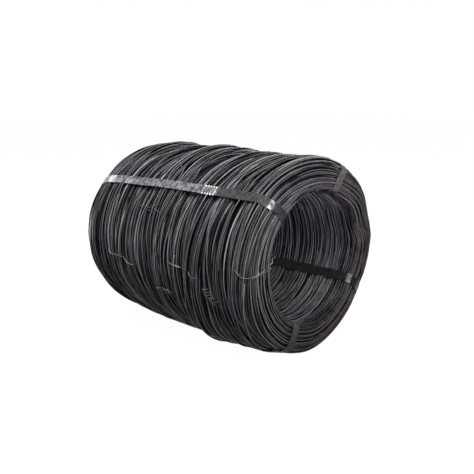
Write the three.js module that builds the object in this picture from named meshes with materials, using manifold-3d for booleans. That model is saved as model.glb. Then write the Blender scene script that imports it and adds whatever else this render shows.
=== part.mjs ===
// Coil of annealed wire rod, lying on its side on a level floor. The wire is wound in many turns
// round an open eye, and four flat steel straps, each closed by a crimped seal, hold it together.
// Short lengths of tie wire still hold some of the turns down.
//
// Millimetres, +Z up. X runs along the eye, and +X is the end with the tighter shoulder. The origin
// is on the floor, under the middle of the coil.

import * as THREE from 'three';
import Module from 'manifold-3d';
import { mergeVertices } from 'three/addons/utils/BufferGeometryUtils.js';

// Coil of wire
const coilLength = 960;
const coilRadius = 345;
const boreRadius = 230;
const wirePitch = 8;
const frontTurnsPerRing = 2;
const rearTurnsPerRing = 3;
const ringDepth = 4;
const lipRounding = 9;

// The outer turns round down into the ends: how far along the coil, and how far in towards the eye.
const frontReach = 58;
const frontFall = 95;
const rearReach = 200;
const rearFall = 100;

// Swellings of the outer turns, as [x, height over the top, height low on the -Y side].
const swellings = [
  [-430, -5, -2], [-380, -3, -8], [-350, -3, -18], [-330, -2, -22], [-290, 0, -16], [-240, 5, -15],
  [-200, 0, -17], [-170, -6, -6], [-130, -6, -1], [-95, -9, 0], [-50, 0, -1], [0, 6, -2], [40, 2, -4],
  [90, -5, 4], [130, -7, 18], [160, -13, 25], [200, -7, 25], [235, -12, 19], [280, -9, 14],
  [330, -13, 8], [370, -12, 0], [400, -8, -6], [440, -7, -14], [465, 0, 0],
];
// The angles, in degrees from +Y towards +Z, where they are highest, and how far round they reach.
const topSwell = { angle: 105, reach: 90 };
const lowSwell = { angle: 233, reach: 33 };

// How far the front end is pulled in, as [angle, distance], on the turns in front of a place.
const frontPulls = [
  [-90, 0], [-75, 4], [-60, 14], [-45, 20], [-28, 24], [-10, 17], [5, 10], [17, 5], [30, 13],
  [47, 5], [62, 11], [78, 5], [95, 2], [110, 0], [235, 0], [255, 8], [270, 0],
];
const pullStart = 200;
const pullPower = 1.5;

// Straps and their seals
const strapWidth = 32;
const strapThickness = 1;
const strapLap = 150;
const sealLength = 58;
const sealWall = 1.4;
const crimpCount = 4;
const crimpPitch = 12.5;
const crimpWidth = 7;
const crimpDepth = 5;

// Tie wires
const tieDiameter = 4;
const twistPitch = 24;

// Fit and fineness
const clearance = 0.3;
const coilFacets = 54;
const lipSteps = 4;
const crestShare = 0.4;
const tieSides = 7;
const tieStep = 4;
const routeStep = 1;
const twistSides = 6;
const twistSteps = 6;

const sameCorner = 1e-4;

// Steel surfaces
const metalness = 0.8;
const annealed = { color: 0x4c4c50, roughness: 0.6, metalness };
const brightSteel = { color: 0xa9acb3, roughness: 0.45, metalness };
const dullSteel = { color: 0x5b5854, roughness: 0.5, metalness };
const drawnSteel = { color: 0x77777a, roughness: 0.5, metalness };

const facetAngle = (2 * Math.PI) / coilFacets;
const axisHeight = coilRadius * Math.cos(facetAngle / 2);
const frontEnd = coilLength / 2;
const rearEnd = -coilLength / 2;
const middleRadius = (coilRadius + boreRadius) / 2;

function piece(name, geometry, surface) {
  const mesh = new THREE.Mesh(geometry, new THREE.MeshStandardMaterial(surface));
  mesh.name = name;
  return mesh;
}

// ---------------------------------------------------------------------------------------------
// Section of the coil, as [radius, x]. Over each end and round its shoulder, the turns of wire lie in
// rings, each a ridge between two valleys.

// [radius, inset from the end's face], from the lip of the eye out to where the shoulder ends.
function endCurve(reach, fall) {
  const lipEdge = new THREE.Vector2(boreRadius + lipRounding, 0);
  const flatEdge = new THREE.Vector2(coilRadius - fall, 0);
  const curve = new THREE.CurvePath();
  curve.add(new THREE.LineCurve(lipEdge, flatEdge));
  curve.add(new THREE.EllipseCurve(flatEdge.x, reach, fall, reach, -Math.PI / 2, 0));
  return curve;
}

function endRings(reach, fall, turnsPerRing) {
  const curve = endCurve(reach, fall);
  const rings = Math.round(curve.getLength() / (turnsPerRing * wirePitch));
  const points = [];
  for (let ring = 0; ring < rings; ring += 1) {
    if (ring > 0) {
      const along = curve.getTangent(ring / rings);
      const inwards = new THREE.Vector2(-along.y, along.x);
      points.push(curve.getPoint(ring / rings).addScaledVector(inwards, ringDepth));
    }
    points.push(curve.getPoint((ring + 0.5 - crestShare / 2) / rings));
    points.push(curve.getPoint((ring + 0.5 + crestShare / 2) / rings));
  }
  return points;
}

// The quarter round that leads from the end's face into the eye.
function lip() {
  const points = [];
  for (let step = 0; step <= lipSteps; step += 1) {
    const angle = ((step / lipSteps) * Math.PI) / 2;
    const radius = boreRadius + lipRounding * (1 - Math.cos(angle));
    points.push(new THREE.Vector2(radius, lipRounding * (1 - Math.sin(angle))));
  }
  return points;
}

// The outside, from rear to front, with a corner at each of its swellings.
function outsidePoints() {
  const rear = rearEnd + rearReach;
  const front = frontEnd - frontReach;
  const places = swellings.map(([x]) => x).filter((x) => x > rear && x < front);
  return [rear, ...places, front].map((x) => new THREE.Vector2(coilRadius, x));
}

// All the way round: from the lip of the eye at the rear, over the outside to the front, and back.
function coilSection() {
  const rear = [...lip(), ...endRings(rearReach, rearFall, rearTurnsPerRing)];
  const front = [...lip(), ...endRings(frontReach, frontFall, frontTurnsPerRing)].reverse();
  return [
    ...rear.map((point) => new THREE.Vector2(point.x, rearEnd + point.y)),
    ...outsidePoints(),
    ...front.map((point) => new THREE.Vector2(point.x, frontEnd - point.y)),
  ];
}

const section = coilSection();

// The value in one column of a table at a place given by the first column.
function lookUp(table, place, column) {
  const after = table.findIndex((row) => row[0] > place);
  if (after < 1) {
    return after === 0 ? table[0][column] : table[table.length - 1][column];
  }
  const [from, to] = [table[after - 1], table[after]];
  return THREE.MathUtils.mapLinear(place, from[0], to[0], from[column], to[column]);
}

function shareAt(angle, swell) {
  const apart = THREE.MathUtils.euclideanModulo(angle - swell.angle + 180, 360) - 180;
  return Math.abs(apart) < swell.reach ? Math.cos(((apart / swell.reach) * Math.PI) / 2) ** 2 : 0;
}

// Where the loose turns lie at an angle round the coil, from their place in the even section.
function settled(point, angle) {
  const outerShare = (point.x - boreRadius) / (coilRadius - boreRadius);
  const swelling = lookUp(swellings, point.y, 1) * shareAt(angle, topSwell)
    + lookUp(swellings, point.y, 2) * shareAt(angle, lowSwell);
  const fromRear = THREE.MathUtils.clamp((point.y - pullStart) / (frontEnd - pullStart), 0, 1);
  const lowest = frontPulls[0][0];
  const pull = lookUp(frontPulls, THREE.MathUtils.euclideanModulo(angle - lowest, 360) + lowest, 1);
  return new THREE.Vector2(
    point.x + swelling * Math.max(outerShare, 0),
    point.y - pull * fromRear ** pullPower,
  );
}

// The section is turned round the eye, the turns settle, and the lowest lie flat on the floor.
function wireCoil() {
  const geometry = new THREE.LatheGeometry([...section, section[0]], coilFacets, facetAngle / 2);
  geometry.rotateZ(-Math.PI / 2);
  const corners = geometry.attributes.position;
  for (let index = 0; index < corners.count; index += 1) {
    const [y, z] = [corners.getY(index), corners.getZ(index)];
    const turn = Math.atan2(z, y);
    const place = new THREE.Vector2(Math.hypot(y, z), corners.getX(index));
    const moved = settled(place, THREE.MathUtils.radToDeg(turn));
    const height = Math.max(moved.x * Math.sin(turn), -axisHeight);
    corners.setXYZ(index, moved.y, moved.x * Math.cos(turn), height);
  }
  geometry.computeVertexNormals();
  return piece('wire_coil', geometry, annealed);
}

// ---------------------------------------------------------------------------------------------
// Straps. A taut strap takes the shortest way round the coil's wall, so its route is the convex
// outline of the section, as [x, radius].

// In the eye the wall's flat facets come closer to the axis than their corners do.
function wallRadius(place) {
  return place.x < boreRadius + lipRounding ? place.x * Math.cos(facetAngle / 2) : place.x;
}

// The section under the middle and both edges of a flat strap at an angle round the coil.
function sectionUnder(angle) {
  const halfWidth = strapWidth / 2;
  return section.flatMap((point) => [-halfWidth, 0, halfWidth].map((across) => {
    const offset = THREE.MathUtils.radToDeg(Math.asin(across / point.x));
    const place = settled(point, angle + offset);
    return new THREE.Vector2(place.y, Math.sqrt(wallRadius(place) ** 2 - across ** 2));
  }));
}

function turnsLeft(a, b, c) {
  return (b.x - a.x) * (c.y - a.y) - (b.y - a.y) * (c.x - a.x) > sameCorner;
}

function chain(points) {
  const kept = [];
  for (const point of points) {
    while (kept.length > 1 && !turnsLeft(kept[kept.length - 2], kept[kept.length - 1], point)) {
      kept.pop();
    }
    kept.push(point);
  }
  return kept.slice(0, -1);
}

// Anticlockwise in [x, radius]: forward through the eye, then back over the outside.
function tautRoute(places) {
  const points = places.toSorted((a, b) => a.x - b.x || a.y - b.y);
  return [...chain(points), ...chain(points.reverse())];
}

// The route moved outwards by a distance, with its corners mitred.
function movedOut(route, distance) {
  return route.map((point, index) => {
    const before = route[(index + route.length - 1) % route.length];
    const after = route[(index + 1) % route.length];
    const first = point.clone().sub(before).normalize();
    const second = after.clone().sub(point).normalize();
    const mitre = new THREE.Vector2(first.y + second.y, -first.x - second.x);
    return point.clone().addScaledVector(mitre, (2 * distance) / mitre.lengthSq());
  });
}

// The point of a route over the outside of the coil that has the given x.
function outsidePoint(line, x) {
  const index = line.findIndex((point, at) => point.x >= x && line[(at + 1) % line.length].x < x);
  const [from, to] = [line[index], line[(index + 1) % line.length]];
  return from.clone().lerp(to, (x - from.x) / (to.x - from.x));
}

// The strap's outer face steps up where its two ends lap under the seal.
function strapOutline(route, sealOffset) {
  const outer = movedOut(route, clearance + strapThickness);
  const lapped = movedOut(route, clearance + 2 * strapThickness);
  const [rear, front] = [sealOffset - strapLap / 2, sealOffset + strapLap / 2];
  const atLap = (point) => point.y > middleRadius && point.x > rear && point.x < front;
  const points = outer.flatMap((point, index) => {
    const next = outer[(index + 1) % outer.length];
    const kept = atLap(point) ? [] : [point];
    return point.y > middleRadius && point.x >= front && next.x < front ? [
      ...kept,
      outsidePoint(outer, front),
      outsidePoint(lapped, front),
      ...lapped.filter(atLap),
      outsidePoint(lapped, rear),
      outsidePoint(outer, rear),
    ] : kept;
  });
  const shape = new THREE.Shape(points);
  shape.holes.push(new THREE.Path(movedOut(route, clearance).reverse()));
  return shape;
}

function strap(name, outline, surface) {
  const geometry = new THREE.ExtrudeGeometry(outline, { depth: strapWidth, bevelEnabled: false });
  geometry.translate(0, 0, -strapWidth / 2);
  return piece(name, geometry, surface);
}

// ---------------------------------------------------------------------------------------------
// Seals. A seal is a channel folded over the lapped strap, with notches crimped into both edges.

const wasm = await Module();
wasm.setup();

function toSolid(geometry) {
  const bare = geometry.clone();
  bare.deleteAttribute('normal');
  bare.deleteAttribute('uv');
  const merged = mergeVertices(bare, sameCorner);
  return new wasm.Manifold(new wasm.Mesh({
    numProp: 3,
    vertProperties: new Float32Array(merged.attributes.position.array),
    triVerts: new Uint32Array(merged.index.array),
  }));
}

function toGeometry(solid) {
  const mesh = solid.getMesh();
  const geometry = new THREE.BufferGeometry();
  geometry.setAttribute('position', new THREE.BufferAttribute(mesh.vertProperties, 3));
  geometry.setIndex(new THREE.BufferAttribute(mesh.triVerts, 1));
  return geometry;
}

const sealHalfWidth = strapWidth / 2 + clearance + sealWall;
const sealHeight = 2 * strapThickness + clearance + sealWall;

// A triangular notch, deepest in the edge that it is cut from.
function crimpCutter(side, x) {
  const notch = new THREE.Shape();
  notch.moveTo(x - crimpWidth / 2, side * (sealHalfWidth + clearance));
  notch.lineTo(x, side * (sealHalfWidth - crimpDepth));
  notch.lineTo(x + crimpWidth / 2, side * (sealHalfWidth + clearance));
  const height = sealHeight + 2 * clearance;
  const geometry = new THREE.ExtrudeGeometry(notch, { depth: height, bevelEnabled: false });
  geometry.rotateX(-Math.PI / 2);
  geometry.translate(0, -clearance, 0);
  return geometry;
}

function seal(name) {
  const inner = sealHalfWidth - sealWall;
  const channel = new THREE.Shape();
  channel.moveTo(-sealHalfWidth, 0);
  channel.lineTo(-inner, 0);
  channel.lineTo(-inner, sealHeight - sealWall);
  channel.lineTo(inner, sealHeight - sealWall);
  channel.lineTo(inner, 0);
  channel.lineTo(sealHalfWidth, 0);
  channel.lineTo(sealHalfWidth, sealHeight);
  channel.lineTo(-sealHalfWidth, sealHeight);
  const geometry = new THREE.ExtrudeGeometry(channel, { depth: sealLength, bevelEnabled: false });
  geometry.rotateY(Math.PI / 2);
  geometry.translate(-sealLength / 2, 0, 0);
  let solid = toSolid(geometry);
  for (let crimp = 0; crimp < crimpCount; crimp += 1) {
    const x = (crimp - (crimpCount - 1) / 2) * crimpPitch;
    for (const side of [-1, 1]) {
      solid = solid.subtract(toSolid(crimpCutter(side, x)));
    }
  }
  return piece(name, toGeometry(solid), brightSteel);
}

// Each strap goes round the coil's wall at its own angle, in degrees from +Y towards +Z, and its
// seal sits at its own place along the coil.
const strapPlaces = [
  { name: 'upper_front', angle: 137.8, sealOffset: 220, surface: brightSteel },
  { name: 'upper_back', angle: 66.5, sealOffset: 220, surface: dullSteel },
  { name: 'lower_back', angle: -27, sealOffset: 220, surface: dullSteel },
  { name: 'lower_front', angle: -111.5, sealOffset: -110, surface: dullSteel },
];

function strapSet({ name, angle, sealOffset, surface }) {
  const route = tautRoute(sectionUnder(angle));
  const foot = movedOut(route, clearance);
  const [rear, front] = [-1, 1].map((side) => outsidePoint(foot, sealOffset + (side * sealLength) / 2));
  const closure = seal(`seal_${name}`);
  closure.position.set((rear.x + front.x) / 2, (rear.y + front.y) / 2, 0);
  closure.rotation.z = Math.atan2(front.y - rear.y, front.x - rear.x);
  const set = new THREE.Group();
  set.add(strap(`strap_${name}`, strapOutline(route, sealOffset), surface), closure);
  set.rotation.x = THREE.MathUtils.degToRad(angle);
  return set;
}

// ---------------------------------------------------------------------------------------------
// Tie wires. Each is pulled tight over the turns. Its place is given by where it starts and how far
// it spans along the even section, in turns of wire from the middle of the outside towards the
// front, and by its angles round the coil at equal steps of the span.

const tieRoute = (() => {
  const even = section.map((point) => new THREE.Vector2(point.y, wallRadius(point)));
  const loop = movedOut(tautRoute(even), clearance).reverse();
  const rearOfLevel = loop.findIndex((point, index) => {
    const next = loop[(index + 1) % loop.length];
    return point.x < 0 && next.x > 0;
  });
  return [...loop.slice(rearOfLevel), ...loop.slice(0, rearOfLevel)];
})();

function onCoil(distance, angle, height) {
  let left = distance - tieRoute[0].x;
  let step = 0;
  while (step < tieRoute.length - 2 && left > tieRoute[step].distanceTo(tieRoute[step + 1])) {
    left -= tieRoute[step].distanceTo(tieRoute[step + 1]);
    step += 1;
  }
  const along = tieRoute[step + 1].clone().sub(tieRoute[step]).normalize();
  const place = tieRoute[step].clone().addScaledVector(along, left);
  const even = new THREE.Vector2(place.y + along.x * height, place.x - along.y * height);
  const { x: radius, y: x } = settled(even, angle);
  const turn = THREE.MathUtils.degToRad(angle);
  return new THREE.Vector3(x, radius * Math.cos(turn), radius * Math.sin(turn));
}

function tiePath({ start, span, angles }, height) {
  const plan = new THREE.SplineCurve(angles.map((angle, index) => (
    new THREE.Vector2(start + (span * index) / (angles.length - 1), angle)
  )));
  const steps = Math.ceil((span * wirePitch) / routeStep);
  const points = plan.getPoints(steps).map((place) => onCoil(place.x * wirePitch, place.y, height));
  return new THREE.CatmullRomCurve3(points);
}

function arcOfCorners(centre, from, to, corners) {
  const points = [];
  for (let index = 0; index < corners; index += 1) {
    const turn = from + ((to - from) * (index + 0.5)) / corners;
    const corner = new THREE.Vector2(Math.cos(turn), Math.sin(turn)).multiplyScalar(tieDiameter / 2);
    points.push(corner.add(new THREE.Vector2(centre, 0)));
  }
  return points;
}

function singleTie(tie) {
  const path = tiePath(tie, tieDiameter / 2);
  const steps = Math.ceil(path.getLength() / tieStep);
  const circle = new THREE.Shape(arcOfCorners(0, 0, 2 * Math.PI, tieSides));
  const geometry = new THREE.ExtrudeGeometry(circle, { steps, extrudePath: path });
  return piece(tie.name, geometry, drawnSteel);
}

// Two wires turned about each other: their joined outline is swept along the path while it turns.
function twistedTie(tie) {
  const path = tiePath(tie, tieDiameter);
  const length = path.getLength();
  const offset = tieDiameter / 2;
  const waist = Math.PI / 6;
  const outline = new THREE.Shape([
    ...arcOfCorners(offset, waist - Math.PI, Math.PI - waist, twistSides),
    ...arcOfCorners(-offset, waist, 2 * Math.PI - waist, twistSides),
  ]);
  const steps = Math.ceil((length / twistPitch) * twistSteps);
  const geometry = new THREE.ExtrudeGeometry(outline, { depth: length, steps, bevelEnabled: false });
  const corners = geometry.attributes.position;
  for (let index = 0; index < corners.count; index += 1) {
    const distance = corners.getZ(index);
    const share = THREE.MathUtils.clamp(distance / length, 0, 1);
    const centre = path.getPointAt(share);
    const along = path.getTangentAt(share);
    const up = new THREE.Vector3(0, centre.y, centre.z).normalize();
    const side = new THREE.Vector3().crossVectors(up, along).normalize();
    const turned = new THREE.Vector2(corners.getX(index), corners.getY(index))
      .rotateAround(new THREE.Vector2(), (2 * Math.PI * distance) / twistPitch);
    centre.addScaledVector(side, turned.x).addScaledVector(up, turned.y);
    corners.setXYZ(index, centre.x, centre.y, centre.z);
  }
  return piece(tie.name, geometry, drawnSteel);
}

const endTieAngles = [178.6, 182, 183.1, 182.3, 180.2, 178.4, 177.2];
const singleTies = [
  { name: 'tie_rear_upper', start: -31, span: 9, angles: [182.7, 186.5, 185.9] },
  { name: 'tie_rear_lower', start: -21.5, span: 9, angles: [186.6, 190.1, 190.3] },
  { name: 'tie_middle', start: 13.5, span: 9.5, angles: [183.8, 183.9, 184.1] },
  { name: 'tie_middle_short', start: 25, span: 5.5, angles: [185.9, 188.9, 188.7] },
  { name: 'tie_front_end', start: 54.5, span: 16.5, angles: endTieAngles },
];

const twistedTies = [
  { name: 'twist_lower', start: 1.5, span: 8, angles: [201, 201.9, 204.4] },
  { name: 'twist_front', start: 33.5, span: 6, angles: [194.6, 198.7, 203.3] },
  { name: 'twist_upper', start: -9.5, span: 12.5, angles: [153.6, 153.3, 153.5] },
  { name: 'twist_top', start: -2.5, span: 5.5, angles: [123.1, 125.9] },
];

// ---------------------------------------------------------------------------------------------

const coil = new THREE.Group();
coil.add(wireCoil(), ...strapPlaces.map(strapSet));
coil.add(...singleTies.map(singleTie), ...twistedTies.map(twistedTie));
coil.position.z = axisHeight;

const model = new THREE.Group();
model.add(coil);

export default model;
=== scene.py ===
import math

import bpy
import numpy as np
from mathutils import Matrix, Vector, geometry


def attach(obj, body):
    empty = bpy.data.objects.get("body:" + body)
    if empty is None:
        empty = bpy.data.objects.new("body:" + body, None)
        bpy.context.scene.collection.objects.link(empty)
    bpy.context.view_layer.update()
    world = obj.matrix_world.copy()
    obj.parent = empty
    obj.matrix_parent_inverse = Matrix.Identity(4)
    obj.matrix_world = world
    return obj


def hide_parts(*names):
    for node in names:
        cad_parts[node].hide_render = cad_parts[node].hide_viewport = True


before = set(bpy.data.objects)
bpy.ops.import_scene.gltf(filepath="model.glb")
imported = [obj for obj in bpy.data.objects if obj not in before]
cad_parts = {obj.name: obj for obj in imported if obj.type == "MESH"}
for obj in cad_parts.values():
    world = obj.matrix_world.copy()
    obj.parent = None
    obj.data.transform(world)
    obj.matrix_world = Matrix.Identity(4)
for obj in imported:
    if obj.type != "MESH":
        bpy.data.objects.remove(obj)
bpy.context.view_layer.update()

# ---------------------------------------------------------------------------------------------
# Camera. It stands a little above the coil's axis and in front of its open end, and is aimed past
# it, so that the coil shows from the side with its eye on the right.

axis_height = 0.3444
azimuth = math.radians(-43.33)
elevation = math.radians(10.90)
camera_distance = 3.067
turned_left = 0.0615
turned_up = -0.1511
focal_pixels = 790.7
centre_right = -65.3
centre_down = 123.4
frame_pixels = 474

away = Vector((math.cos(elevation) * math.cos(azimuth), math.cos(elevation) * math.sin(azimuth),
               math.sin(elevation)))
look = -away
right = look.cross(Vector((0, 0, 1))).normalized()
up = right.cross(look)
yaw = Matrix.Rotation(turned_left, 3, up)
look = yaw @ look
right = yaw @ right
pitch = Matrix.Rotation(turned_up, 3, right)
look = pitch @ look
up = pitch @ up
bpy.ops.object.camera_add()
camera = bpy.context.object
camera.matrix_world = (Matrix.Translation(camera_distance * away + Vector((0, 0, axis_height)))
                       @ Matrix((right, up, -look)).transposed().to_4x4())
camera.data.sensor_width = 36
camera.data.lens = focal_pixels / frame_pixels * camera.data.sensor_width
camera.data.shift_x = -centre_right / frame_pixels
camera.data.shift_y = centre_down / frame_pixels
bpy.context.scene.camera = camera

# ---------------------------------------------------------------------------------------------
# The wound wire. One length of hot-rolled, annealed steel rod under a thin grey scale, wound turn
# beside turn and layer on layer. Nothing guides the turns but the tension: they bunch, part and
# lean, and the straps pull them in.

coil_length = 0.960
coil_radius = 0.345
eye_radius = 0.230
lip_radius = 0.009
front_reach = 0.058
front_fall = 0.095
rear_reach = 0.200
rear_fall = 0.100
wire_radius = 0.0027
turn_pitch = 0.0066
steps_round = 96

outline_spacing = 0.001
corner_points = 120
tangent_rows = 3


# How far along a line of points each of them is.
def lengths_along(points):
    return np.r_[0, np.cumsum(np.hypot(*np.diff(points, axis=0).T))]


# The outline of the wound wall: over the rear end, the outside and the front end, and back
# through the eye. Returns the distance along it, its whole length, and for each distance the x,
# the radius and the way out of the wall.
def wall_outline():
    quarter = np.linspace(0, np.pi / 2, corner_points)
    rising, falling = 1 - np.cos(quarter), 1 - np.sin(quarter)
    half = coil_length / 2
    corners = np.concatenate([
        np.stack([-half + lip_radius * falling, eye_radius + lip_radius * rising], 1),
        np.stack([-half + rear_reach * rising, coil_radius - rear_fall * falling], 1),
        np.stack([half - front_reach * falling, coil_radius - front_fall * rising], 1),
        np.stack([half - lip_radius * rising, eye_radius + lip_radius * falling], 1)])
    corners = np.concatenate([corners, corners[:1]])
    lengths = lengths_along(corners)
    distance = np.arange(0, lengths[-1], outline_spacing)
    x = np.interp(distance, lengths, corners[:, 0])
    radius = np.interp(distance, lengths, corners[:, 1])
    along = np.stack([np.roll(x, -tangent_rows) - np.roll(x, tangent_rows),
                      np.roll(radius, -tangent_rows) - np.roll(radius, tangent_rows)])
    along /= np.hypot(*along)
    return distance, lengths[-1], x, radius, -along[1], along[0]


wall_distance, wall_length, wall_x, wall_r, wall_nx, wall_nr = wall_outline()
turns = round(wall_length / turn_pitch)
chance = np.random.default_rng(7)


# One of the outline's values, at distances along the wall.
def at_wall(distance, values):
    return np.interp(distance % wall_length, wall_distance, values)


# A smooth random swell over the wall, as a sum of waves: the finest and the coarsest wave along
# the wall in metres, and the most waves round a turn.
def swell(finest, coarsest, most_round, waves, place, turn):
    total = np.zeros(np.broadcast(place, turn).shape)
    for _ in range(waves):
        wave = chance.uniform(coarsest ** -1, finest ** -1) * chance.choice([-1, 1])
        rounds = chance.integers(-most_round, most_round + 1)
        total += np.sin(2 * np.pi * wave * place + rounds * turn + chance.uniform(0, 2 * np.pi))
    return total / math.sqrt(waves / 2)


# How a single wire wanders along its own length, in the same way: the fewest and the most waves
# in a radian.
def wander(fewest, most, waves, unrolled):
    total = np.zeros(unrolled.shape)
    for _ in range(waves):
        total += np.sin(chance.uniform(fewest, most) * unrolled + chance.uniform(0, 2 * np.pi))
    return total / math.sqrt(waves / 2)


# 1 at the middle angle, falling to 0 at its reach to either side, both in degrees.
def near_angle(turn, middle, reach):
    apart = np.degrees(np.angle(np.exp(1j * (turn - math.radians(middle)))))
    return np.cos(np.clip(apart / reach, -1, 1) * np.pi / 2) ** 2


# A line with its corners rounded off, and its ends kept.
def smooth_line(values, rounds):
    for _ in range(rounds):
        values = np.r_[values[0], (values[:-2] + 2 * values[1:-1] + values[2:]) / 4, values[-1]]
    return values


# The straight-line values between points of [place, value].
def profile(values, points):
    return np.interp(values, [point[0] for point in points], [point[1] for point in points])


# Each turn in steps: the angle unrolled from the first turn, the angle round the coil, and the
# distance along the wall at which it was wound.
unrolled = np.arange(turns * steps_round) * 2 * np.pi / steps_round
turn_angle = np.tile(np.arange(steps_round) * 2 * np.pi / steps_round, turns)
base_place = unrolled / (2 * np.pi) * wall_length / turns
base_x = at_wall(base_place, wall_x)

# How much of each effect there is, at distances along the wall in metres.
outside_share = ((0, 0), (0.08, 0.3), (0.2, 1), (1.0, 1), (1.1, 0.3), (1.2, 0))
eye_share = ((1.10, 0), (1.18, 1), (2.05, 1), (2.08, 0))
loose_share = ((0, 0.5), (0.1, 1), (0.90, 1), (0.98, 0.6), (1.15, 0.42), (1.25, 0.26), (2.0, 0.26),
               (2.08, 0.5))
sinking_share = ((0.92, 1), (0.98, 0.6), (1.20, 0.6), (1.30, 1))
on_outside = profile(base_place, outside_share)
in_eye = profile(base_place, eye_share)
loose = profile(base_place, loose_share) * (1 + 1.3 * in_eye * near_angle(turn_angle, -75, 80))

# The turns lean forwards over the top of the coil, gather towards its middle low down, and drift
# to and fro together.
lean_over_top = 0.045
gather_low_down = 0.040
gather_x = 0.02
gather_reach = 0.2
long_drift = 0.009
short_drift = 0.004
lean = lean_over_top * near_angle(turn_angle, 75, 72) * on_outside
gathered = np.tanh((base_x - gather_x) / gather_reach)
lean -= gather_low_down * near_angle(turn_angle, 250, 72) * gathered * on_outside
lean += long_drift * swell(0.15, 0.5, 2, 14, base_place, turn_angle) * loose
lean += short_drift * swell(0.07, 0.16, 3, 20, base_place, turn_angle) * loose

# Swellings of the wound wall, as [x in metres, and in millimetres the height over the top and the
# height low on the -Y side].
swellings = (
    (-0.430, -7, -6), (-0.380, -4, -8), (-0.350, -2, -30), (-0.330, 2, -48), (-0.310, 1, -36),
    (-0.290, 0, -20), (-0.240, 6, -17), (-0.200, -2, -20), (-0.170, -12, -12), (-0.130, -2, -1),
    (-0.095, -17, 3), (-0.050, -1, -2), (0.000, 10, -2), (0.040, 9, -14), (0.070, -1, -15),
    (0.090, -8, -14), (0.110, -12, -4), (0.130, -15, 9), (0.160, -13, 20), (0.200, -5, 28),
    (0.235, -16, 18), (0.280, -8, 15), (0.330, -18, 16), (0.370, -11, -6), (0.400, -10, -16),
    (0.440, -5, -20), (0.465, 0, 0))
small_swell = 0.0022
swelling_x, over_top, low_down = np.transpose(swellings)
lined_x = at_wall(base_place + lean, wall_x)
bulge = 0.001 * np.interp(lined_x, swelling_x, over_top) * near_angle(turn_angle, 105, 90)
bulge += 0.001 * np.interp(lined_x, swelling_x, low_down) * near_angle(turn_angle, 233, 33)
bulge *= on_outside
bulge += small_swell * swell(0.06, 0.2, 3, 24, base_place, turn_angle)

# Two layers of turns, the second half a pitch on and deeper by 1.8 wire radii. In each the turns
# bunch, and sink where a bunch leaves them room.
bunching = 0.0038
wandering_aside = 0.0036
wandering_out = 0.0013
layer_depth = 1.8
sinking_rate = 7
most_rise = -1
most_sinking = 3.2
sinking = 0.0020 * profile(base_place, sinking_share)
layers = []
for depth in (0, 1):
    place = base_place + 0.5 * depth * wall_length / turns
    bunch = bunching * loose * swell(0.015, 0.060, 4, 40, place, turn_angle)
    spread = np.gradient(bunch, base_place)
    side = lean + bunch + wandering_aside * loose * wander(0.3, 3.0, 24, unrolled)
    sunk = sinking * np.clip(spread * sinking_rate, most_rise, most_sinking)
    height = -wire_radius * (1 + layer_depth * depth) - sunk
    height = height + bulge + wandering_out * loose * wander(0.4, 3.2, 24, unrolled)
    layers.append((place + side, height))

# The turns settle: each pushes its neighbours aside until they no longer overlap, and the floor
# stops those at the bottom, with room for the strap and the seal that lie between it and them.
settling_rounds = 40
neighbours = 6
push_share = 0.4
least_apart = 1e-9
return_share = 0.05
floor_play = 0.0004
strap_room = 0.0024
seal_room = 0.0030
lowest_seal_x = -0.110
seal_room_reach = 0.055
outside_from = 0.2
least_downwards = 0.3
angles_round = turn_angle[:steps_round]
sine = np.sin(angles_round)
floor_level = floor_play + strap_room * near_angle(angles_round, 257, 15) - axis_height
room_for_seal = seal_room * near_angle(angles_round, 255, 12)
place, height = (np.concatenate(values).reshape(-1, steps_round) for values in zip(*layers))
wanted_height = height.copy()
for _ in range(settling_rounds):
    order = np.argsort(place % wall_length, axis=0)
    sorted_place = np.take_along_axis(place % wall_length, order, 0)
    sorted_height = np.take_along_axis(height, order, 0)
    move_place = np.zeros(place.shape)
    move_height = np.zeros(height.shape)
    for step in range(1, neighbours + 1):
        gap_place = (np.roll(sorted_place, -step, 0) - sorted_place) % wall_length
        gap_height = np.roll(sorted_height, -step, 0) - sorted_height
        apart = np.hypot(gap_place, gap_height) + least_apart
        push = np.clip(2 * wire_radius - apart, 0, None) * push_share / apart
        move_place += np.roll(push * gap_place, step, 0) - push * gap_place
        move_height += np.roll(push * gap_height, step, 0) - push * gap_height
    back = np.argsort(order, axis=0)
    place = place + np.take_along_axis(move_place, back, 0)
    height = height + np.take_along_axis(move_height, back, 0)
    height += return_share * (wanted_height - height)
    facing = at_wall(place, wall_nr)
    down = (at_wall(place, wall_r) + facing * height) * -sine
    from_seal = at_wall(place, wall_x) - lowest_seal_x
    room = floor_level + room_for_seal * np.exp(-(from_seal / seal_room_reach) ** 4)
    below = np.clip(down + room + wire_radius, 0, None) * (facing > outside_from)
    height -= below / np.maximum(facing * -sine, least_downwards)
    for values in (place, height):
        for rows in (slice(0, turns), slice(turns, None)):
            values[rows] = smooth_line(values[rows].ravel(), 1).reshape(-1, steps_round)
place = place.reshape(2, -1)
height = height.reshape(2, -1)

# How far the front end is pulled in, in millimetres, at angles round the coil in degrees, and the
# x from which the pull grows.
front_pull = ((-90, 2), (-80, 6), (-70, 11), (-60, 14), (-50, 16), (-42, 17), (-28, 22), (-20, 16),
              (-10, 13), (0, 9), (8, 5), (14, 9), (20, 15), (26, 13), (34, 7), (42, 4), (48, 6),
              (54, 9), (60, 14), (68, 13), (76, 5), (84, 2), (110, 0), (235, 0), (255, 8), (270, 2))
pull_from_x = 0.20
pull_reach = 0.28
pull_power = 1.5


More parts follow.
